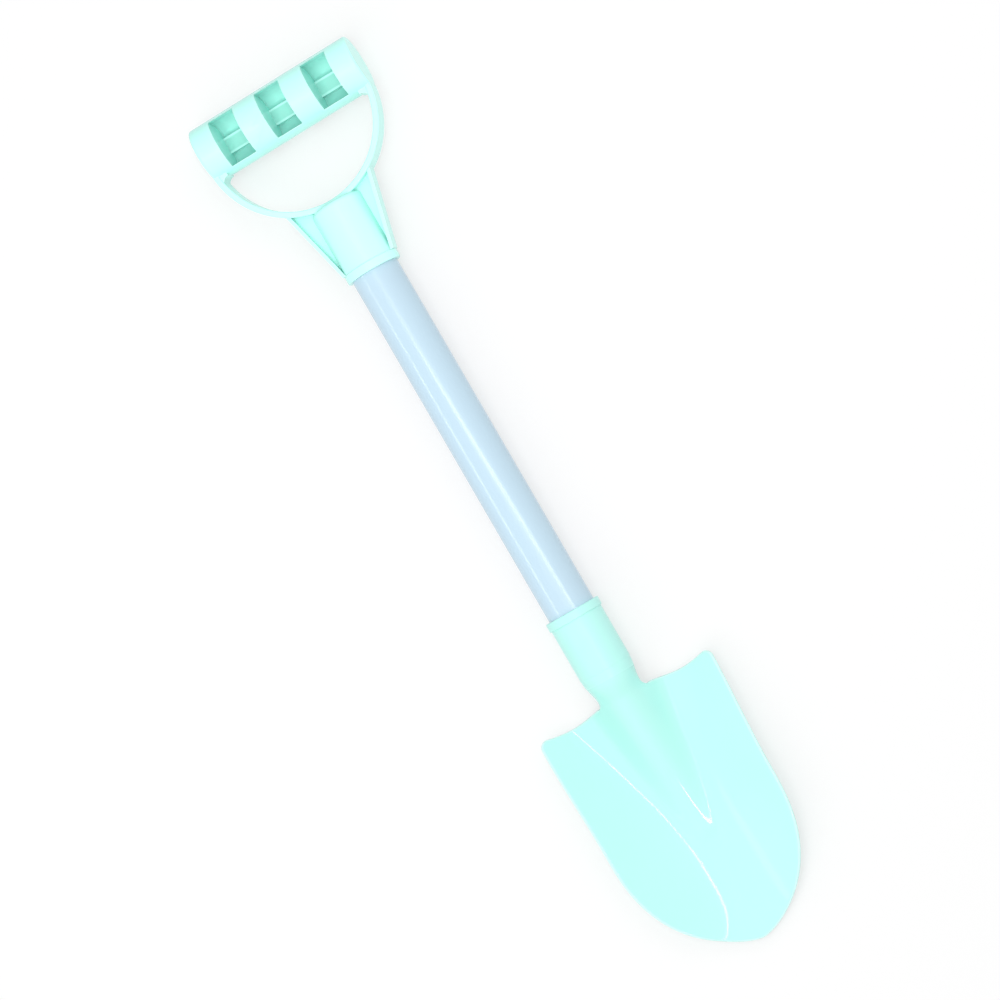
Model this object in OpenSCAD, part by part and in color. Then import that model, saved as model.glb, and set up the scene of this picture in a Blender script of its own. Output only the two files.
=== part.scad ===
// Child's sand shovel lying on its back, blade to -Y, handle to +Y, the ground at Z = 0.
// Three pieces in line: a dished round-point blade, a straight tube and a cored D-handle.

/* [Shaft] */
// Outside diameter of the tube
shaft_d = 25.5; // [20:0.5:32]
// Wall of the tube
shaft_wall = 1.5; // [1:0.1:3]
// Length of tube that shows between the two sockets
shaft_bare = 198; // [80:1:600]

/* [Sockets] */
// Radial gap between the tube and each socket
fit_gap = 0.05; // [0.02:0.01:0.2]
// Wall of each socket
socket_wall = 1.4; // [1:0.1:3]
// Thickness of the closed end of each socket
socket_floor = 4; // [3:0.5:8]
// How far the tube goes into the blade
blade_socket_depth = 30; // [20:1:60]
// How far the tube goes into the handle
handle_socket_depth = 36; // [28:0.5:60]
// Length of the ring round each mouth
ring_len = 4.6; // [2:0.1:8]
// Height of the ring over the socket
ring_rise = 0.8; // [0.4:0.1:2]
// Rounding of the ring's edges
ring_round = 0.5; // [0.2:0.1:0.8]

/* [Blade] */
// Wall of the blade
blade_wall = 2; // [1.4:0.1:3]
// Half width of the upper face at the shoulders
blade_half_w = 49.8; // [40:0.2:70]
// Length from the tip to the shoulders
blade_len = 140.5; // [120:0.5:200]
// How much each side draws in from the shoulder to the start of the round point
side_draw = 2.2; // [0:0.1:8]
// Length of the round point
point_len = 72.5; // [50:0.5:90]
// Fullness of the point where it leaves the sides
point_fullness = 2.5; // [1.8:0.1:3.2]
// Bluntness of the point at the tip
tip_bluntness = 1.5; // [1.2:0.1:2.2]
// Rounding of the two shoulder corners
corner_r = 3; // [1:0.5:6]
// Dip of each shoulder edge between the corner and the neck
shoulder_dip = 2.2; // [0:0.1:5]
// How far down the blade that dip fades out
dip_reach = 40; // [20:1:60]
// Slope of the side walls at mid blade, as rise over run
side_slope = 0.24; // [0.1:0.02:0.5]
// Slope of the side walls at the shoulders, as rise over run
shoulder_slope = 0.48; // [0.2:0.02:0.6]
// How much the curve of the side walls adds to their height at mid blade
wall_bow = 7; // [0:0.5:10]
// Half width of the floor between the walls at the end of the ridge
floor_low_w = 4.2; // [3:0.2:14]
// Half width of that floor at the shoulders
floor_high_w = 33; // [18:0.2:38]
// How much that floor spreads to each side at the tip
tip_spread = 25; // [10:1:60]
// Distance from the tip at which it starts to spread
spread_at = 36; // [25:1:55]
// Rounding of the folds between the floor and the walls
fold_round = 6; // [3:0.5:10]
// Height of the tip over the belly
tip_rise = 5; // [2:0.5:16]
// Height of the floor at the shoulders over the belly
heel_rise = 1.2; // [0:0.1:4]
// Distance from the tip to the lowest point of the belly
belly_at = 59; // [40:1:70]

/* [Ridge and neck] */
// Distance from the tip to the end of the centre ridge
ridge_end = 52; // [40:0.5:90]
// Length of the rounded nose of the ridge
ridge_nose = 10; // [6:1:20]
// Height of the ridge behind its nose
ridge_low_h = 1.6; // [0.8:0.1:5]
// Height of the ridge at the shoulders
ridge_high_h = 19; // [10:0.5:22]
// Half width of the foot of the ridge at its nose
ridge_low_w = 9; // [7:0.5:16]
// Half width of the foot of the ridge at the shoulders
ridge_high_w = 23; // [17:0.5:30]
// Length of the neck from the shoulders to the socket
neck_len = 16.5; // [10:0.5:40]
// Half width of the neck at its waist
neck_half_w = 12.6; // [10:0.1:13.5]
// Fillet from the neck to the shoulders
neck_fillet = 4; // [1:0.5:6]
// How far round the socket the neck reaches to each side of its top, in degrees
neck_wrap = 130; // [95:1:140]

/* [Grip] */
// Diameter of the grip
grip_d = 30; // [26:0.5:36]
// Length of the grip
grip_len = 94; // [86:1:130]
// Rounding of the grip's end edges
grip_round = 1.5; // [0.5:0.1:3]
// Wall of the grip's half shells
grip_wall = 2.4; // [1.6:0.1:3.5]
// Width of each window along the grip
window_w = 14.5; // [10:0.5:17]
// Distance from one window to the next
window_pitch = 27.6; // [24:0.2:32]
// Wall between a window and the hollow beside it
partition = 2; // [1.4:0.1:3]
// Width of the spine that runs through the windows
spine_w = 8.8; // [7.4:0.2:12]
// Depth of the spine's face below the grip's middle
spine_drop = 7; // [2:0.5:9]

/* [Bow and gussets] */
// Thickness of the bow
bow_t = 3; // [2:0.1:5]
// Depth of the bow from front to back
bow_depth = 15; // [10:0.5:22]
// Distance from the grip's axis to the centre of the bow
bow_drop = 9; // [4:0.5:14]
// Rounding of the bow's edges
bow_round = 0.7; // [0.3:0.1:0.9]
// Fillet between the inside of the bow and the grip
bow_fillet = 4; // [1:0.5:8]
// Rounding of the end of the boss under the bow
boss_round = 2.5; // [0.5:0.1:3.5]
// Thickness of the gusset webs
web_t = 3; // [2:0.1:5]
// Half width of the gussets where they meet the bow
gusset_w = 25; // [20:0.5:32]
// Thickness of the rib along each gusset's edge
rib_t = 1.8; // [1.2:0.1:3]
// Depth of those ribs from front to back
rib_depth = 11; // [6:0.5:14]

/* [Hidden] */
$fn = 96;
mint = [0.66, 0.94, 0.89];
pale_blue = [0.78, 0.87, 0.94];

// Radii of the sockets and their rings
bore_r = shaft_d / 2 + fit_gap;
socket_r = bore_r + socket_wall;
ring_r = socket_r + ring_rise;

// Stations along the shovel, measured from the tip of the blade
neck_end = blade_len + neck_len;
blade_stop = neck_end + socket_floor;
blade_mouth = blade_stop + blade_socket_depth;
collar_mouth = blade_mouth + shaft_bare;
handle_stop = collar_mouth + handle_socket_depth;
boss_end = handle_stop + socket_floor;
bow_r = grip_len / 2;
bow_y = boss_end - bow_t / 2 + bow_r;
grip_y = bow_y + bow_drop;

// The lower face of the blade reaches a little past the tip of the upper one, where the floor slopes up
tip_reach = blade_wall * sin(atan(2 * tip_rise / belly_at));
overall = tip_reach + grip_y + grip_d / 2;

// Height of the shaft's axis: the larger of the grip and the rings lies on the ground
axis_z = max(grip_d / 2, ring_r);

// Places a shape that is drawn with the tip of the blade's upper face at Y = 0
module from_tip() {
    translate([0, tip_reach - overall / 2, 0]) children();
}

// Lays a shape that is drawn along +Z down on the shaft's axis, from y towards the handle
module along_shaft(y) {
    translate([0, y, axis_z]) rotate([-90, 0, 0]) children();
}

// Points of a quarter round about c, from angle a
round_steps = 5;
function quarter(c, r, a) =
    [for (k = [0:round_steps]) let (turn = a + 90 * k / round_steps) c + r * [cos(turn), sin(turn)]];

// Outside of a socket along +Z, with its ring at the mouth and a rounded closed end
module socket_body(len, end_round) {
    rotate_extrude()
        polygon(concat(
            [[0, 0]],
            quarter([ring_r - ring_round, ring_round], ring_round, -90),
            quarter([ring_r - ring_round, ring_len - ring_round], ring_round, 0),
            [[socket_r, ring_len]],
            quarter([socket_r - end_round, len - end_round], end_round, 0),
            [[0, len]]));
}

// Blade sheet. Heights are those of its upper face over the ground.
spread_power = 3;
spread_ease = 12;
ridge_power = 1.6;
function soft_step(t) = let (c = min(1, max(0, t))) c * c * (3 - 2 * c);
function soft_ramp(u, r) = (sqrt(u * u + r * r) + u) / 2;
function mix(a, b, t) = a + (b - a) * t;
function fillet(r, d) = r - sqrt(r * r - pow(r - min(r, max(0, d)), 2));

// Half width of the outline at distance y from the tip
function point_share(y) =
    y >= point_len ? 1 : pow(1 - pow((point_len - y) / point_len, point_fullness), 1 / tip_bluntness);
function side_w(y) =
    (blade_half_w - side_draw * soft_step((blade_len - y) / (blade_len - point_len))) * point_share(y);

// Floor of the pan along the middle, how wide it is, and the walls that fold up to both sides of it
function floor_z(y) =
    y < belly_at
        ? blade_wall + tip_rise * pow((belly_at - y) / belly_at, 2)
        : blade_wall + heel_rise * pow((y - belly_at) / (blade_len - belly_at), 2);
function upper_share(y) = min(1, soft_ramp(y - ridge_end, spread_ease) / (blade_len - ridge_end));
function floor_w(y) =
    mix(floor_low_w, floor_high_w, upper_share(y))
    + tip_spread * pow(max(0, 1 - y / spread_at), spread_power);
function fold(u) = soft_ramp(u, fold_round);
function dish_z(x, y) =
    let (w = floor_w(y))
    let (share = upper_share(y))
    mix(side_slope, shoulder_slope, share) * (fold(x - w) + fold(-x - w) - 2 * fold(-w))
    + wall_bow * (1 - share) * pow(x / blade_half_w, 2);

// Centre ridge: it narrows and sinks from the shoulders to its round nose
function ridge_t(y) = max(0, (y - ridge_end) / (blade_len - ridge_end));
function ridge_h(y) =
    mix(ridge_low_h, ridge_high_h, pow(ridge_t(y), ridge_power)) * soft_step((y - ridge_end) / ridge_nose);
function ridge_w(y) = mix(ridge_low_w, ridge_high_w, ridge_t(y));
function ridge_z(x, y) = ridge_h(y) * pow(1 - pow(min(1, abs(x) / ridge_w(y)), 2), 2);

function pan_z(x, y) = floor_z(y) + dish_z(x, y) + ridge_z(x, y);

// Rows of the sheet from the socket to the tip, and columns from left to right.
// Above the shoulders only the columns of the neck are used, and the last row is the tip.
neck_rows = 9;
side_rows = 12;
point_rows = 16;
neck_cols = 16;
wing_cols = 10;
cols = neck_cols + 2 * wing_cols;
corner_steps = [0, 0.05, 0.2, 0.5, 1];
// How closely the rows crowd towards the shoulders and towards the tip
shoulder_crowding = 1.6;
tip_crowding = 2;
neck_reach = neck_len + socket_floor / 2;
rows = concat(
    [for (k = [0:neck_rows - 1]) blade_len + neck_reach * pow(1 - k / neck_rows, shoulder_crowding)],
    [for (s = corner_steps) blade_len - corner_r * s],
    [for (k = [1:side_rows]) mix(blade_len - corner_r, point_len, k / side_rows)],
    [for (k = [1:point_rows]) point_len * pow(1 - k / point_rows, tip_crowding)]);
tip_row = len(rows) - 1;

// Where column i lies across the neck, from -1 to 1, and how far it lies out on a wing, from 0 to 1
function across(i) = min(1, max(-1, 2 * (i - wing_cols) / neck_cols - 1));
function out(i) = max(0, max(wing_cols - i, i - cols + wing_cols)) / wing_cols;

// The pan: the shoulder edge dips between the neck and the corner, and the rows below follow it
function ridge_foot(y) = (neck_half_w + neck_fillet) * side_w(y) / blade_half_w;
function pan_point(i, y) =
    let (edge = side_w(y) - fillet(corner_r, blade_len - y))
    let (x = ridge_foot(y) * sin(90 * across(i)) + sign(across(i)) * out(i) * (edge - ridge_foot(y)))
    let (fade = soft_step((y - blade_len + dip_reach) / dip_reach))
    let (dipped = y - shoulder_dip * sin(180 * out(i)) * fade)
    [x, dipped, pan_z(x, dipped)];

// The neck: its section turns from the ridge into the round of the socket, just inside the socket's skin
skin = 0.05;
neck_r = socket_r - skin;
function neck_point(a, y) =
    let (t = soft_step((y - blade_len) / neck_len))
    let (x = (neck_half_w + fillet(neck_fillet, y - blade_len)) * sin(90 * a))
    mix([x, y, pan_z(x, y)], [neck_r * sin(neck_wrap * a), y, axis_z + neck_r * cos(neck_wrap * a)], t);

// Unit normals of the upper face, from the points a small step to each side
probe = 0.01;
function unit(v) = v / norm(v);
function pan_normal(x, y) =
    unit([
        pan_z(x - probe, y) - pan_z(x + probe, y),
        pan_z(x, y - probe) - pan_z(x, y + probe),
        2 * probe]);
function neck_normal(a, y) =
    unit(cross(
        neck_point(min(1, a + probe), y) - neck_point(max(-1, a - probe), y),
        neck_point(a, y + probe) - neck_point(a, y - probe)));

function upper_point(j, i) = rows[j] > blade_len ? neck_point(across(i), rows[j]) : pan_point(i, rows[j]);
function under_point(j, i) =
    let (p = upper_point(j, i))
    p - blade_wall * (rows[j] > blade_len ? neck_normal(across(i), rows[j]) : pan_normal(p[0], p[1]));

module blade_sheet() {
    spots = concat([for (j = [0:tip_row - 1]) for (i = [0:cols]) [j, i]], [[tip_row, 0]]);
    count = len(spots);
    shoulder_row = neck_rows;
    left = wing_cols;
    right = cols - wing_cols;
    function at(j, i) = j < tip_row ? j * (cols + 1) + i : count - 1;
    function in_sheet(j, i) = j >= shoulder_row || (i >= left && i < right);
    function quad(a, b, c, d, flip) =
        [for (t = flip ? [[a, b, d], [b, c, d]] : [[a, b, c], [a, c, d]]) if (t[1] != t[2]) t];
    function wall(a, b) = [[b, a, a + count], [b, a + count, b + count]];
    skin_faces = [
        for (j = [0:tip_row - 1]) for (i = [0:cols - 1]) if (in_sheet(j, i))
            each quad(at(j, i), at(j, i + 1), at(j + 1, i + 1), at(j + 1, i), i < cols / 2)];
    under_faces = [for (t = skin_faces) [t[2] + count, t[1] + count, t[0] + count]];
    edge_faces = concat(
        [for (i = [left:right - 1]) each wall(at(0, i), at(0, i + 1))],
        [for (j = [0:shoulder_row - 1]) each wall(at(j + 1, left), at(j, left))],
        [for (j = [0:shoulder_row - 1]) each wall(at(j, right), at(j + 1, right))],
        [for (i = [0:left - 1]) each wall(at(shoulder_row, i), at(shoulder_row, i + 1))],
        [for (i = [right:cols - 1]) each wall(at(shoulder_row, i), at(shoulder_row, i + 1))],
        [for (j = [shoulder_row:tip_row - 1]) each wall(at(j + 1, 0), at(j, 0))],
        [for (j = [shoulder_row:tip_row - 1]) each wall(at(j, cols), at(j + 1, cols))]);
    points = concat([for (s = spots) upper_point(s[0], s[1])], [for (s = spots) under_point(s[0], s[1])]);
    polyhedron(points, concat(skin_faces, under_faces, edge_faces));
}

module blade() {
    color(mint) from_tip() difference() {
        union() {
            blade_sheet();
            along_shaft(blade_mouth) mirror([0, 0, 1])
                socket_body(blade_socket_depth + socket_floor, ring_round);
        }
        along_shaft(blade_stop) cylinder(r = bore_r, h = blade_socket_depth + ring_len);
    }
}

module shaft_tube() {
    length = blade_socket_depth + shaft_bare + handle_socket_depth;
    color(pale_blue) from_tip() along_shaft(blade_stop) difference() {
        cylinder(d = shaft_d, h = length);
        translate([0, 0, -shaft_wall]) cylinder(d = shaft_d - 2 * shaft_wall, h = length + 2 * shaft_wall);
    }
}

// Shapes of the grip are drawn along X about its axis, front up
hollow_r = grip_d / 2 - grip_wall;

module grip_bar() {
    half = grip_len / 2;
    r = grip_d / 2;
    rotate([0, 90, 0]) rotate_extrude()
        polygon(concat(
            [[0, -half]],
            quarter([r - grip_round, grip_round - half], grip_round, -90),
            quarter([r - grip_round, half - grip_round], grip_round, 0),
            [[0, half]]));
}

// Half-round hollow of one stretch of the grip, open to the front
module grip_hollow(length) {
    rotate([0, 90, 0]) cylinder(r = hollow_r, h = length, center = true);
    translate([-length / 2, -hollow_r, 0]) cube([length, 2 * hollow_r, grip_d]);
}

// Window with the spine left standing in it, and the groove behind the spine
module grip_window() {
    groove_w = spine_w - 2 * grip_wall;
    difference() {
        grip_hollow(window_w);
        translate([-window_w, -spine_w / 2, -grip_d]) cube([2 * window_w, spine_w, grip_d - spine_drop]);
    }
    translate([-window_w / 2, -groove_w / 2, -grip_d])
        cube([window_w, groove_w, grip_d - spine_drop - grip_wall]);
}

// Windows in front, and hollows from behind under the bars between and beside them
module grip_coring() {
    bar_hollow = window_pitch - window_w - 2 * partition;
    end_from = window_pitch + window_w / 2 + partition;
    end_to = grip_len / 2 - bow_t;
    for (k = [-1:1]) translate([k * window_pitch, 0, 0]) grip_window();
    mirror([0, 0, 1]) for (side = [-1, 1]) {
        translate([side * window_pitch / 2, 0, 0]) grip_hollow(bar_hollow);
        translate([side * (end_from + end_to) / 2, 0, 0]) grip_hollow(end_to - end_from);
    }
}

// Round bow from one end of the grip to the other, below the grip's axis
module bow() {
    z = bow_depth / 2 - bow_round;
    inner = bow_r - bow_t + bow_round;
    outer = bow_r - bow_round;
    intersection() {
        translate([0, bow_y, 0]) rotate_extrude()
            polygon(concat(
                quarter([outer, z], bow_round, 0),
                quarter([inner, z], bow_round, 90),
                quarter([inner, -z], bow_round, 180),
                quarter([outer, -z], bow_round, 270)));
        translate([-grip_len, boss_end - grip_len, -bow_depth])
            cube([2 * grip_len, grip_y - boss_end + grip_len, 2 * bow_depth]);
    }
}

// Fillet in the right corner between the inside of the bow and the grip
module corner_fillet() {
    corner_y = grip_y - grip_d / 2;
    corner_x = sqrt(pow(bow_r - bow_t, 2) - pow(corner_y - bow_y, 2));
    translate([corner_x, corner_y, bow_round - bow_depth / 2]) linear_extrude(bow_depth - 2 * bow_round)
        difference() {
            translate([-bow_fillet, -bow_fillet]) square([bow_fillet + bow_t / 2, bow_fillet + grip_wall]);
            translate([-bow_fillet, -bow_fillet]) circle(bow_fillet);
        }
}

// Web and edge rib of one gusset, from the collar up into the bow
module gusset() {
    foot = [ring_r, collar_mouth + ring_len];
    head = [gusset_w, bow_y - sqrt(bow_r * bow_r - gusset_w * gusset_w)];
    tip = head + (head - foot) * bow_t / 2 / norm(head - foot);
    rib = [rib_t, 0];
    difference() {
        union() {
            translate([0, 0, -web_t / 2]) linear_extrude(web_t)
                polygon([[0, foot[1]], foot, tip, [0, tip[1]]]);
            translate([0, 0, -rib_depth / 2]) linear_extrude(rib_depth)
                polygon([foot - rib, foot, tip, tip - rib]);
        }
        translate([0, bow_y, 0]) cylinder(r = bow_r - bow_t / 2, h = 2 * bow_depth, center = true);
    }
}

module d_handle() {
    color(mint) from_tip() difference() {
        union() {
            translate([0, grip_y, axis_z]) grip_bar();
            translate([0, 0, axis_z]) bow();
            for (side = [0, 1]) translate([0, 0, axis_z]) mirror([side, 0, 0]) {
                gusset();
                corner_fillet();
            }
            along_shaft(collar_mouth) socket_body(boss_end - collar_mouth, boss_round);
        }
        translate([0, grip_y, axis_z]) grip_coring();
        along_shaft(collar_mouth - ring_len) cylinder(r = bore_r, h = handle_socket_depth + ring_len);
    }
}

blade();
shaft_tube();
d_handle();
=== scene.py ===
import math

import bpy
import numpy as np
from mathutils import Matrix, Vector


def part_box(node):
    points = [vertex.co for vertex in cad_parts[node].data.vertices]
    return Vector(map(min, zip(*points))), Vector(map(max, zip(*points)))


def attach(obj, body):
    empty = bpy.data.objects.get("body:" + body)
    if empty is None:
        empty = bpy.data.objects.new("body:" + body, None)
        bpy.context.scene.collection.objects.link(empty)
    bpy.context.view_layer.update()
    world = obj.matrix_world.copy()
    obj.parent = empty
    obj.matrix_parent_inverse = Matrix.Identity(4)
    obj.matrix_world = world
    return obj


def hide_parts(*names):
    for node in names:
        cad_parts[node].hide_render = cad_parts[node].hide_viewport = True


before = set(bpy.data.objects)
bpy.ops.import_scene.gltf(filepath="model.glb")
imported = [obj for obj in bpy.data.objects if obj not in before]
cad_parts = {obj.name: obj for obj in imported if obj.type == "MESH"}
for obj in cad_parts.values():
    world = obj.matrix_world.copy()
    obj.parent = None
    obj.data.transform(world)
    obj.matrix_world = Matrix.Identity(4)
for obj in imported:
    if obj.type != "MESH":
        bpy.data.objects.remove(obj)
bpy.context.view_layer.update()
MM = 0.001

# Lengths in millimetres, angles in degrees. Y runs from the tip of the blade's upper face, Z from the
# ground.
# Shaft and sockets
SHAFT_D = 25.5
FIT_GAP = 0.05
SOCKET_WALL = 1.4
SOCKET_FLOOR = 4.0
SOCKET_DEPTH = 30.0
HANDLE_SOCKET_DEPTH = 36.0
SHAFT_BARE = 198.0
SHAFT_WALL = 1.5
RING_LEN = 4.6
RING_RISE = 0.8
RING_ROUND = 0.5
END_ROUND = 0.4
# Outline of the pan
WALL = 2.0
HALF_W = 49.8
LENGTH = 140.5
SIDE_DRAW = 2.2
POINT_LEN = 72.5
POINT_FULLNESS = 2.5
TIP_BLUNTNESS = 1.5
CORNER_R = 3.0
SHOULDER_DIP = 2.2
DIP_REACH = 40.0
# Dish
SIDE_SLOPE = 0.24
SHOULDER_SLOPE = 0.48
WALL_BOW = 7.0
FLOOR_LOW_W = 4.2
FLOOR_HIGH_W = 33.0
TIP_SPREAD = 25.0
SPREAD_AT = 36.0
SPREAD_POWER = 3
SPREAD_EASE = 12.0
FOLD_ROUND = 6.0
TIP_RISE = 5.0
HEEL_RISE = 1.2
BELLY_AT = 59.0
# Centre ridge
RIDGE_END = 52.0
RIDGE_NOSE = 10.0
RIDGE_LOW_H = 1.6
RIDGE_HIGH_H = 19.0
RIDGE_LOW_W = 9.0
RIDGE_HIGH_W = 23.0
RIDGE_POWER = 1.6
# Neck
NECK_LEN = 16.5
NECK_HALF_W = 12.6
NECK_FILLET = 4.0
NECK_WRAP = 130.0
# Grip
GRIP_R = 15.0

BORE_R = SHAFT_D / 2 + FIT_GAP
SOCKET_R = BORE_R + SOCKET_WALL
RING_R = SOCKET_R + RING_RISE
NECK_END = LENGTH + NECK_LEN
BLADE_STOP = NECK_END + SOCKET_FLOOR
BLADE_MOUTH = BLADE_STOP + SOCKET_DEPTH
RIM_R = WALL / 2
AXIS_Z = max(GRIP_R, RING_R)
TIP_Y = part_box("blade")[1].y / MM - BLADE_MOUTH


def soft_step(t):
    c = np.clip(t, 0, 1)
    return c * c * (3 - 2 * c)


def soft_ramp(u, r):
    return (np.hypot(u, r) + u) / 2


def mix(a, b, t):
    return a + (b - a) * t


def fillet(r, d):
    return r - np.sqrt(r * r - (r - np.clip(d, 0, r)) ** 2)


def side_w(y):
    share = 1 - np.clip((POINT_LEN - y) / POINT_LEN, 0, 1) ** POINT_FULLNESS
    drawn = HALF_W - SIDE_DRAW * soft_step((LENGTH - y) / (LENGTH - POINT_LEN))
    return drawn * share ** (1 / TIP_BLUNTNESS)


def ridge_t(y):
    return np.clip((y - RIDGE_END) / (LENGTH - RIDGE_END), 0, None)


def pan_z(x, y):
    """Height of the blade's upper face: floor, folded-up sides and centre ridge."""
    before = TIP_RISE * np.clip((BELLY_AT - y) / BELLY_AT, 0, None) ** 2
    behind = HEEL_RISE * np.clip((y - BELLY_AT) / (LENGTH - BELLY_AT), 0, None) ** 2
    share = np.minimum(1, soft_ramp(y - RIDGE_END, SPREAD_EASE) / (LENGTH - RIDGE_END))
    tip_spread = TIP_SPREAD * np.clip(1 - y / SPREAD_AT, 0, None) ** SPREAD_POWER
    w = mix(FLOOR_LOW_W, FLOOR_HIGH_W, share) + tip_spread
    folds = soft_ramp(x - w, FOLD_ROUND) + soft_ramp(-x - w, FOLD_ROUND) - 2 * soft_ramp(-w, FOLD_ROUND)
    dish = mix(SIDE_SLOPE, SHOULDER_SLOPE, share) * folds + WALL_BOW * (1 - share) * (x / HALF_W) ** 2
    t = ridge_t(y)
    height = mix(RIDGE_LOW_H, RIDGE_HIGH_H, t ** RIDGE_POWER) * soft_step((y - RIDGE_END) / RIDGE_NOSE)
    foot = mix(RIDGE_LOW_W, RIDGE_HIGH_W, t)
    ridge = height * (1 - np.clip(np.abs(x) / foot, 0, 1) ** 2) ** 2
    return WALL + before + behind + dish + ridge


def pan_point(across, out, y):
    """Point of the upper face, drawn in from the outline by the radius of the rim."""
    foot = (NECK_HALF_W + NECK_FILLET) * side_w(y) / HALF_W
    edge = side_w(y) - fillet(CORNER_R, LENGTH - y)
    x = foot * np.sin(across * math.pi / 2) + np.sign(across) * out * (edge - foot)
    x = x * (1 - RIM_R / HALF_W)
    fade = soft_step((y - LENGTH + DIP_REACH) / DIP_REACH)
    dipped = y - SHOULDER_DIP * np.sin(math.pi * out) * fade
    dipped = dipped + RIM_R * (1 - 2 * y / LENGTH)
    return np.stack([x, dipped, pan_z(x, dipped)], -1)


def neck_point(across, y, r):
    t = soft_step((y - LENGTH) / NECK_LEN)[..., None]
    x = (NECK_HALF_W + fillet(NECK_FILLET, y - LENGTH)) * np.sin(across * math.pi / 2)
    x = x * (1 - RIM_R / HALF_W)
    y = y - RIM_R * np.clip(1 - (y - LENGTH) / NECK_LEN, 0, 1)
    turn = np.radians(NECK_WRAP) * across
    low = np.stack([x, y, pan_z(x, y)], -1)
    high = np.stack([r * np.sin(turn), y, AXIS_Z + r * np.cos(turn)], -1)
    return mix(low, high, t)


def unit(v):
    return v / np.linalg.norm(v, axis=-1, keepdims=True)


# Meshes. The sheet has rows along the blade and columns across it. SKIN keeps its neck just under the
# socket's face, NECK_LAP takes it into the socket's closed end, and normals are taken over PROBE.
# END_CORE_R is the pinhole that a turned shape leaves at its axis.
NECK_ROWS = 26
CORNER_ROWS = 9
SIDE_ROWS = 40
POINT_ROWS = 46
NECK_COLS = 48
WING_COLS = 26
SKIN = 0.15
PROBE = 0.01
RIM_STEPS = 6
NECK_LAP = 0.5
NECK_CROWDING = 1.6
END_CORE_R = 0.4
SOCKET_SEGMENTS = 96
TUBE_SEGMENTS = 160
SHARP_DEGREES = 40


def blade_sheet():
    """Closed sheet of the pan and neck: vertices, faces and the number of the first vertex on the rim."""
    steps = np.linspace(1, 0, NECK_ROWS, endpoint=False)
    neck_y = LENGTH + (NECK_LEN + NECK_LAP) * steps ** NECK_CROWDING
    corner_y = LENGTH - CORNER_R * np.linspace(0, 1, CORNER_ROWS) ** 2
    side_y = np.linspace(corner_y[-1], POINT_LEN, SIDE_ROWS + 1)[1:]
    point_y = POINT_LEN * (1 - np.arange(1, POINT_ROWS) / POINT_ROWS) ** 2
    rows = np.concatenate([neck_y, corner_y, side_y, point_y])
    cols = NECK_COLS + 2 * WING_COLS
    i = np.arange(cols + 1)
    across = np.clip(2 * (i - WING_COLS) / NECK_COLS - 1, -1, 1)
    out = np.maximum(0, np.maximum(WING_COLS - i, i - cols + WING_COLS)) / WING_COLS
    a, y = np.meshgrid(across, rows)
    o, _ = np.meshgrid(out, rows)
    r = SOCKET_R - SKIN
    upper = np.where((y > LENGTH)[..., None], neck_point(a, y, r), pan_point(a, o, y))
    x, dipped = upper[..., 0], upper[..., 1]
    slope_x = pan_z(x - PROBE, dipped) - pan_z(x + PROBE, dipped)
    slope_y = pan_z(x, dipped - PROBE) - pan_z(x, dipped + PROBE)
    pan_normal = unit(np.stack([slope_x, slope_y, np.full_like(x, 2 * PROBE)], -1))
    along_a = neck_point(np.minimum(1, a + PROBE), y, r) - neck_point(np.maximum(-1, a - PROBE), y, r)
    along_y = neck_point(a, y + PROBE, r) - neck_point(a, y - PROBE, r)
    neck_normal = unit(np.cross(along_a, along_y))
    normal = np.where((y > LENGTH)[..., None], neck_normal, pan_normal)
    under = upper - WALL * normal
    zero = np.array(0.0)
    tip = np.array([0, RIM_R, pan_z(zero, zero + RIM_R)])
    tip_slope = pan_z(zero, RIM_R - PROBE) - pan_z(zero, RIM_R + PROBE)
    tip_under = tip - WALL * unit(np.array([0, tip_slope, 2 * PROBE]))
    count = upper.shape[0] * (cols + 1) + 1
    points = np.concatenate([upper.reshape(-1, 3), [tip], under.reshape(-1, 3), [tip_under]])
    last = upper.shape[0] - 1
    left, right = WING_COLS, WING_COLS + NECK_COLS

    def at(j, k):
        return j * (cols + 1) + k if j <= last else count - 1

    faces = []
    rim = set()
    for j in range(last + 1):
        span = range(left, right) if j < NECK_ROWS else range(cols)
        for k in span:
            quad = [at(j, k), at(j, k + 1), at(j + 1, k + 1), at(j + 1, k)]
            ring = [q for n, q in enumerate(quad) if q != quad[n - 1]]
            faces.append(ring[::-1])
            faces.append([q + count for q in ring])
            for p, q in zip(ring, ring[1:] + ring[:1]):
                if (q, p) in rim:
                    rim.remove((q, p))
                else:
                    rim.add((p, q))
    return round_rim(points, faces, dict(rim), count)


def round_rim(points, faces, after, count):
    """Closes the sheet with a half-round rim.

    after maps each rim vertex of the upper face to the next one, and count is the step to the under face.
    """
    loop = [next(iter(after))]
    while after[loop[-1]] != loop[0]:
        loop.append(after[loop[-1]])
    up, down = points[loop], points[[q + count for q in loop]]
    along = unit(np.roll(up + down, -1, 0) - np.roll(up + down, 1, 0))
    half = (up - down) / 2
    radius = np.linalg.norm(half, axis=1, keepdims=True)
    outward = unit(np.cross(half, along)) * radius
    turns = [math.pi * k / RIM_STEPS for k in range(1, RIM_STEPS)]
    arcs = [(up + down) / 2 + half * math.cos(t) + outward * math.sin(t) for t in turns]
    rings = [loop]
    for k in range(len(arcs)):
        start = len(points) + k * len(loop)
        rings.append(list(range(start, start + len(loop))))
    rings.append([q + count for q in loop])
    n = len(loop)
    for a, b in zip(rings, rings[1:]):
        faces += [[a[k], a[(k + 1) % n], b[(k + 1) % n], b[k]] for k in range(n)]
    return np.concatenate([points] + arcs), faces, len(points)


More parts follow.
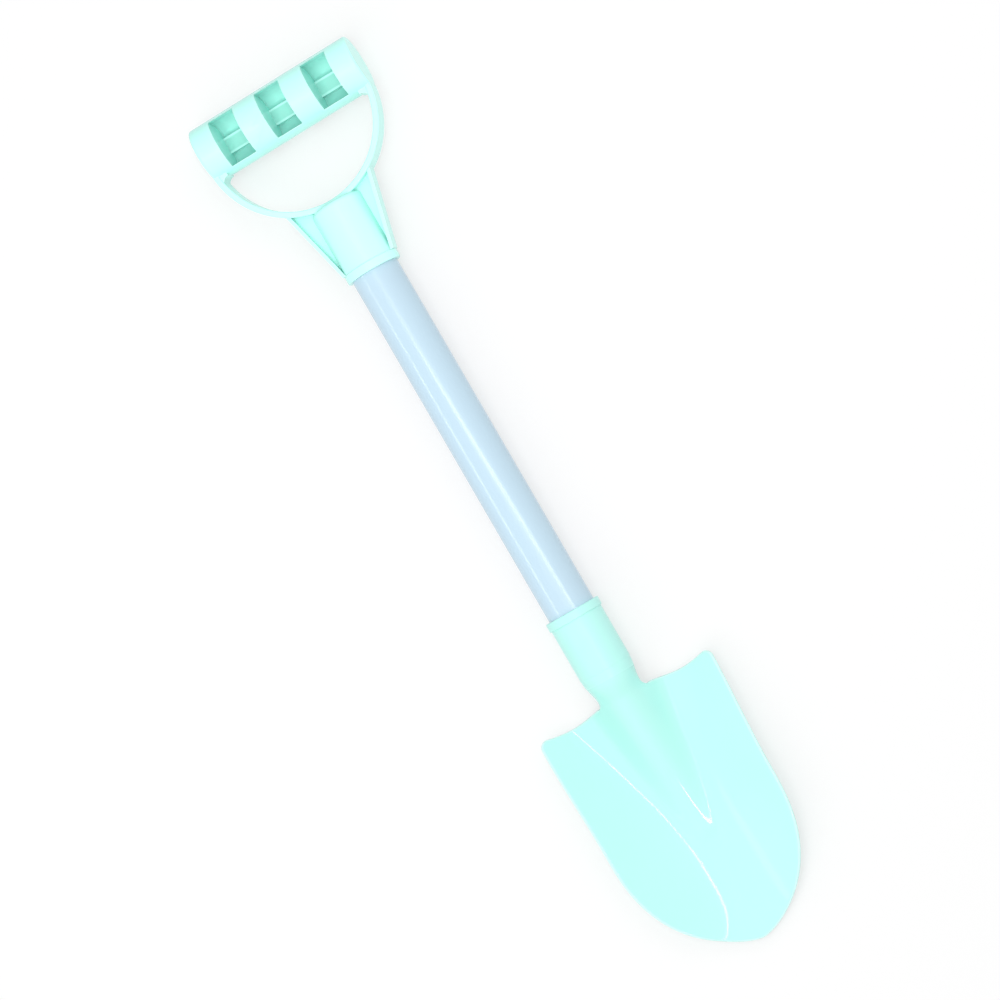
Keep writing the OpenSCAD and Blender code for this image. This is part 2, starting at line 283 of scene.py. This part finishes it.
def lathe(profile, segments):
    """Closed ring of a profile of (radius, Y) points turned about the shaft's axis."""
    turns = np.linspace(0, 2 * math.pi, segments, endpoint=False)
    points = [[r * math.sin(t), y, AXIS_Z + r * math.cos(t)] for t in turns for r, y in profile]
    n = len(profile)
    faces = []
    for s in range(segments):
        for k in range(n):
            a, b = s * n + k, s * n + (k + 1) % n
            c, d = ((s + 1) % segments) * n + (k + 1) % n, ((s + 1) % segments) * n + k
            faces.append([a, b, c, d])
    return np.array(points), faces


def arc(cx, cy, r, start, end, steps=6):
    turns = np.radians(np.linspace(start, end, steps))
    return [(cx + r * math.cos(t), cy + r * math.sin(t)) for t in turns]


def socket_profile():
    """Half section of the blade's socket, from its closed end over the ring into the bore."""
    ring_start = BLADE_MOUTH - RING_LEN
    return (
        [(END_CORE_R, NECK_END)]
        + arc(SOCKET_R - END_ROUND, NECK_END + END_ROUND, END_ROUND, -90, 0)
        + [(SOCKET_R, ring_start)]
        + arc(RING_R - RING_ROUND, ring_start + RING_ROUND, RING_ROUND, -90, 0)
        + arc(RING_R - RING_ROUND, BLADE_MOUTH - RING_ROUND, RING_ROUND, 0, 90)
        + [(BORE_R, BLADE_MOUTH), (BORE_R, BLADE_STOP), (END_CORE_R, BLADE_STOP)]
    )


def mesh_object(name, parts):
    """Object made of (vertices in millimetres, faces) pairs, set at the blade's place in the frame."""
    points, faces, base = [], [], 0
    for p, f in parts:
        points.append(np.asarray(p))
        faces += [[q + base for q in face] for face in f]
        base += len(p)
    co = (np.concatenate(points) + [0, TIP_Y, 0]) * MM
    mesh = bpy.data.meshes.new(name)
    mesh.from_pydata(co.tolist(), [], faces)
    mesh.validate()
    mesh.shade_smooth()
    mesh.set_sharp_from_angle(angle=math.radians(SHARP_DEGREES))
    obj = bpy.data.objects.new(name, mesh)
    bpy.context.scene.collection.objects.link(obj)
    return obj


# How far the blade's rim is painted paler: a painted highlight along its edge
RIM_HIGHLIGHT_SHARE = 0.35

sheet_points, sheet_faces, rim_from = blade_sheet()
socket = lathe(socket_profile(), SOCKET_SEGMENTS)
blade = mesh_object("blade_shell", [(sheet_points, sheet_faces), socket])
# The rim's vertices take the painted highlight
painted_rim_highlight = np.zeros(len(blade.data.vertices))
painted_rim_highlight[rim_from:len(sheet_points)] = RIM_HIGHLIGHT_SHARE
blade.data.attributes.new("rim", "FLOAT", "POINT").data.foreach_set("value", painted_rim_highlight)
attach(blade, "root")
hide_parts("blade")

tube_r = SHAFT_D / 2
tube_in_r = tube_r - SHAFT_WALL
tube_end = BLADE_MOUTH + SHAFT_BARE + HANDLE_SOCKET_DEPTH
tube_profile = [(tube_in_r, BLADE_STOP), (tube_in_r, tube_end), (tube_r, tube_end), (tube_r, BLADE_STOP)]
tube = mesh_object("tube_shell", [lathe(tube_profile, TUBE_SEGMENTS)])
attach(tube, "root")
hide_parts("shaft_tube")

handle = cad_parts["d_handle"]


# Node helpers. A value given to them is a number, a colour or another node's socket.
def nodes_of(name):
    mat = bpy.data.materials.new(name)
    mat.use_nodes = True
    tree = mat.node_tree
    return mat, tree, tree.nodes["Principled BSDF"]


def feed(tree, socket, value):
    if isinstance(value, bpy.types.NodeSocket):
        tree.links.new(value, socket)
    else:
        socket.default_value = value


def add(tree, kind, **inputs):
    node = tree.nodes.new(kind)
    for key, value in inputs.items():
        feed(tree, node.inputs[key.replace("_", " ")], value)
    return node


def calc(tree, operation, a, b=0.0):
    node = tree.nodes.new("ShaderNodeMath")
    node.operation = operation
    feed(tree, node.inputs[0], a)
    feed(tree, node.inputs[1], b)
    return node.outputs["Value"]


def vector_calc(tree, operation, a, b=(0, 0, 0)):
    node = tree.nodes.new("ShaderNodeVectorMath")
    node.operation = operation
    feed(tree, node.inputs[0], a)
    feed(tree, node.inputs[1], b)
    return node.outputs["Value" if operation in ("LENGTH", "DISTANCE") else "Vector"]


def across_x(tree, vector):
    """Length of the part of a vector that lies across X."""
    return vector_calc(tree, "LENGTH", vector_calc(tree, "MULTIPLY", vector, (0, 1, 1)))


def spread(tree, value, start, end, low=0, high=1, kind="LINEAR"):
    """Value taken from start to end onto low to high."""
    node = add(
        tree, "ShaderNodeMapRange", Value=value, From_Min=start, From_Max=end, To_Min=low, To_Max=high)
    node.interpolation_type = kind
    return node.outputs["Result"]


def tinted(tree, colour, share, tint, kind="MIX"):
    node = add(tree, "ShaderNodeMixRGB", Fac=share, Color1=colour, Color2=tint)
    node.blend_type = kind
    return node.outputs["Color"]


# Plastic. From here on lengths are in metres, as Blender takes them.
MINT = (0.48, 0.895, 0.83)
DEEP_MINT = (0.455, 0.88, 0.805)
BLUE = (0.487, 0.645, 0.752)
DEEP_BLUE = (0.472, 0.63, 0.737)
# Pale mint of the painted highlights on the blade's rim and on the handle's edges
EDGE_HIGHLIGHT_MINT = (0.80, 0.97, 0.95, 1)
# Tint of the painted shade in the grip's recessed middle
CORE_SHADE_TINT = (0.72, 0.82, 0.79, 1)
# Colour of the painted highlight lines on the spine's edges
SPINE_HIGHLIGHT_MINT = (0.54, 0.92, 0.86, 1)
PLASTIC_IOR = 1.49
SATIN_ADDED = 0.25
FLOW = {"Scale": 9.0, "Detail": 3.0, "Roughness": 0.55}
FLOW_STOPS = (0.3, 0.7)
RIPPLE_DETAIL = 2.0
RIPPLE_SHARE = 0.03
RIPPLE_DEPTH = 0.0001
BROKEN_EDGE = 0.0005
BROKEN_SAMPLES = 8
BROKEN_TURN = (0.15, 0.7)
# Share of the painted highlight on the handle's edges
EDGE_HIGHLIGHT_SHARE = 0.6
# Reach of the painted shade in the grip's recessed middle, from its axis
CORE_R = 0.010
CORE_FADE = 0.9
SPINE_EDGE_R = 0.0081
SPINE_HIGHLIGHT_REACH = (0.0005, 0.0002)


class Plastic:
    """Moulded plastic: faint flow marks in the colour, uneven gloss and a fine ripple on the surface."""

    def __init__(self, name, pale, deep, rough, stretch=(1, 1, 1), grain=500):
        self.mat, self.tree, self.shader = nodes_of(name)
        self.place = self.tree.nodes.new("ShaderNodeTexCoord").outputs["Object"]
        marks = add(self.tree, "ShaderNodeMapping", Vector=self.place, Scale=stretch).outputs["Vector"]
        flow = add(self.tree, "ShaderNodeTexNoise", Vector=marks, **FLOW)
        tint = add(self.tree, "ShaderNodeValToRGB", Fac=flow.outputs["Fac"])
        for stop, position, colour in zip(tint.color_ramp.elements, FLOW_STOPS, (deep, pale)):
            stop.position = position
            stop.color = (*colour, 1)
        self.colour = tint.outputs["Color"]
        self.rough = spread(self.tree, flow.outputs["Fac"], 0, 1, *rough)
        ripple = add(self.tree, "ShaderNodeTexNoise", Vector=marks, Scale=grain, Detail=RIPPLE_DETAIL)
        height = ripple.outputs["Fac"]
        self.bump = add(
            self.tree, "ShaderNodeBump", Height=height, Strength=RIPPLE_SHARE, Distance=RIPPLE_DEPTH)

    def satin(self, start, end):
        """Lets the gloss fade between two places along Y."""
        y = add(self.tree, "ShaderNodeSeparateXYZ", Vector=self.place).outputs["Y"]
        added = spread(self.tree, y, start, end, 0, SATIN_ADDED, "SMOOTHSTEP")
        self.rough = calc(self.tree, "ADD", self.rough, added)

    def paint_rim_highlight(self):
        """Painted highlight: paler colour on the vertices that are marked as the rim."""
        mark = self.tree.nodes.new("ShaderNodeAttribute")
        mark.attribute_name = "rim"
        self.colour = tinted(self.tree, self.colour, mark.outputs["Fac"], EDGE_HIGHLIGHT_MINT)

    def broken_edges_and_highlight(self):
        """Softens the edges of the solid through the bevel's normal, and paints them paler as a painted
        highlight.
        """
        bevel = add(self.tree, "ShaderNodeBevel", Radius=BROKEN_EDGE)
        bevel.samples = BROKEN_SAMPLES
        feed(self.tree, self.bump.inputs["Normal"], bevel.outputs["Normal"])
        normal = self.tree.nodes.new("ShaderNodeNewGeometry").outputs["Normal"]
        apart = vector_calc(self.tree, "DISTANCE", bevel.outputs["Normal"], normal)
        # Painted highlight: paler colour where the bevel's normal turns away from the face's
        painted_edge_highlight = spread(self.tree, apart, *BROKEN_TURN, 0, EDGE_HIGHLIGHT_SHARE)
        self.colour = tinted(self.tree, self.colour, painted_edge_highlight, EDGE_HIGHLIGHT_MINT)

    def paint_core_shade(self, axis):
        """Painted shade: deeper colour in the recessed middle of the grip, with painted highlight lines
        on the edges of its spine.
        """
        reach = across_x(self.tree, vector_calc(self.tree, "SUBTRACT", self.place, axis))
        facing = across_x(self.tree, self.tree.nodes.new("ShaderNodeNewGeometry").outputs["Normal"])
        # Painted shade on the surfaces within CORE_R of the grip's axis
        painted_core_shade = calc(self.tree, "MULTIPLY", spread(self.tree, reach, CORE_R, CORE_FADE * CORE_R), facing)
        self.colour = tinted(self.tree, self.colour, painted_core_shade, CORE_SHADE_TINT, "MULTIPLY")
        # Painted highlight: light lines on the edges of the spine
        aside = calc(self.tree, "ABSOLUTE", calc(self.tree, "SUBTRACT", reach, SPINE_EDGE_R))
        painted_spine_highlight = calc(self.tree, "MULTIPLY", spread(self.tree, aside, *SPINE_HIGHLIGHT_REACH), facing)
        self.colour = tinted(self.tree, self.colour, painted_spine_highlight, SPINE_HIGHLIGHT_MINT)

    def dress(self, obj):
        feed(self.tree, self.shader.inputs["Base Color"], self.colour)
        feed(self.tree, self.shader.inputs["Roughness"], self.rough)
        feed(self.tree, self.shader.inputs["Normal"], self.bump.outputs["Normal"])
        self.shader.inputs["IOR"].default_value = PLASTIC_IOR
        obj.data.materials.clear()
        obj.data.materials.append(self.mat)


polished = Plastic("mint_polished", MINT, DEEP_MINT, rough=(0.05, 0.10))
polished.satin((TIP_Y + LENGTH) * MM, (TIP_Y + NECK_END) * MM)
polished.paint_rim_highlight()
polished.dress(blade)
mint = Plastic("mint_satin", MINT, DEEP_MINT, rough=(0.20, 0.26))
mint.broken_edges_and_highlight()
mint.paint_core_shade((0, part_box("d_handle")[1].y - GRIP_R * MM, AXIS_Z * MM))
mint.dress(handle)
blue = Plastic(
    "pale_blue_plastic", BLUE, DEEP_BLUE, rough=(0.17, 0.22), stretch=(1, 0.05, 1), grain=700)
blue.dress(tube)


def seen(tree):
    """1 for rays on which the background shows: from the camera, off gloss and through clear pieces."""
    path = tree.nodes.new("ShaderNodeLightPath").outputs
    bare = calc(tree, "MAXIMUM", path["Is Camera Ray"], path["Is Glossy Ray"])
    return calc(tree, "MAXIMUM", bare, path["Is Transmission Ray"])


# Floor and world
FLOOR_SIZE = 12
FLOOR_DROP = 0.0002
FLOOR_WHITE = (0.9, 0.9, 0.9, 1)
FLOOR_ROUGH = 0.9
FLOOR_GLOW = 0.6
WORLD_LIGHT = 0.62
WORLD_SEEN = 1.0

bpy.ops.mesh.primitive_plane_add(size=FLOOR_SIZE, location=(0, 0, -FLOOR_DROP))
floor = bpy.context.object
floor.name = "floor"
mat, tree, shader = nodes_of("floor_white")
shader.inputs["Base Color"].default_value = FLOOR_WHITE
shader.inputs["Roughness"].default_value = FLOOR_ROUGH
shader.inputs["Specular IOR Level"].default_value = 0.0
glow = tree.nodes.new("ShaderNodeEmission")
lit = add(tree, "ShaderNodeMixShader", Fac=calc(tree, "MULTIPLY", seen(tree), FLOOR_GLOW))
tree.links.new(shader.outputs["BSDF"], lit.inputs[1])
tree.links.new(glow.outputs["Emission"], lit.inputs[2])
tree.links.new(lit.outputs["Shader"], tree.nodes["Material Output"].inputs["Surface"])
floor.data.materials.append(mat)

world = bpy.data.worlds.new("studio")
bpy.context.scene.world = world
world.use_nodes = True
tree = world.node_tree
back = tree.nodes["Background"]
back.inputs["Color"].default_value = (1, 1, 1, 1)
feed(tree, back.inputs["Strength"], spread(tree, seen(tree), 0, 1, WORLD_LIGHT, WORLD_SEEN))


def lamp(name, place, aim, along, length, width, watts, in_gloss, only=None):
    """Area lamp at place, facing aim, with its long side along the given direction.

    in_gloss says whether it shows in reflections. With only given, it lights no other piece.
    """
    data = bpy.data.lights.new(name, "AREA")
    data.shape = "RECTANGLE"
    data.size = length
    data.size_y = width
    data.energy = watts
    obj = bpy.data.objects.new(name, data)
    bpy.context.scene.collection.objects.link(obj)
    z = (Vector(place) - Vector(aim)).normalized()
    x = (Vector(along) - Vector(along).dot(z) * z).normalized()
    y = z.cross(x)
    obj.matrix_world = Matrix((x, y, z)).transposed().to_4x4()
    obj.location = place
    obj.visible_camera = False
    obj.visible_glossy = in_gloss
    if only:
        lit_alone = bpy.data.collections.new(name + "_lit")
        lit_alone.objects.link(only)
        obj.light_linking.receiver_collection = lit_alone


# Bars that draw the highlights, then soft lamps for the handle, then soft lamps for everything
lamp("bar_blade", (0.29, -0.29, 1.0), (0, -0.2, 0), (0, 1, 0), 0.68, 0.03, 0.8, True, blade)
lamp("bar_tip", (0.29, -0.53, 1.0), (0, -0.44, 0), (0, 1, 0), 0.2, 0.08, 0.45, True, blade)
lamp("bar_tube", (0.263, 0.0375, 1.0), (0, 0.05, 0), (-0.704, 0.305, 0), 0.641, 0.035, 1.55, True, tube)
lamp("bar_left_blade", (-1.0, -0.36, 0.97), (0, -0.1, 0), (0, 1, 0), 0.48, 0.06, 0.12, True, blade)
lamp("bar_left_tube", (-1.0, 0.085, 0.70), (0, 0.05, 0), (0, 1, 0), 0.37, 0.10, 0.9, True, tube)
lamp("bar_grip", (0, 0.0, 1.0), (0, 0.2, 0), (1, 0, 0), 0.6, 0.03, 0.5, True, handle)
lamp("grip_light", (-0.1, -0.42, 1.3), (0, 0.2, 0), (1, 0, 0), 0.5, 0.5, 6.1, False, handle)
lamp("grip_side", (0.95, 0.2, 0.25), (0, 0.2, 0), (0, 1, 0), 0.4, 0.3, 1.5, False, handle)
lamp("overhead", (0.05, 0.1, 1.6), (0, 0, 0), (1, 0, 0), 0.8, 0.8, 8.6, False)
lamp("key", (-0.7, -0.6, 1.0), (0, 0, 0), (1, 0, 0), 1.2, 1.2, 4.0, False)
lamp("fill", (0.5, 0.7, 1.0), (0, 0.2, 0), (1, 0, 0), 0.6, 0.6, 2.0, False)

# Camera
CAM = Vector((0.270, -0.042, 1.600))
AIM = Vector((-0.00338, 0.00809, 0.015))
ROLL = 0.5327
FOCAL_PX = 3192.9
PICTURE_PX = 1000
SENSOR_MM = 36
cam = bpy.data.cameras.new("camera")
cam.sensor_width = SENSOR_MM
cam.lens = SENSOR_MM * FOCAL_PX / PICTURE_PX
cam_obj = bpy.data.objects.new("camera", cam)
bpy.context.scene.collection.objects.link(cam_obj)
ahead = (AIM - CAM).normalized()
up = Vector((math.sin(ROLL), math.cos(ROLL), 0))
right = ahead.cross(up).normalized()
up = right.cross(ahead)
cam_obj.matrix_world = Matrix((right, up, -ahead)).transposed().to_4x4()
cam_obj.location = CAM
bpy.context.scene.camera = cam_obj
bpy.context.scene.view_settings.view_transform = "Standard"
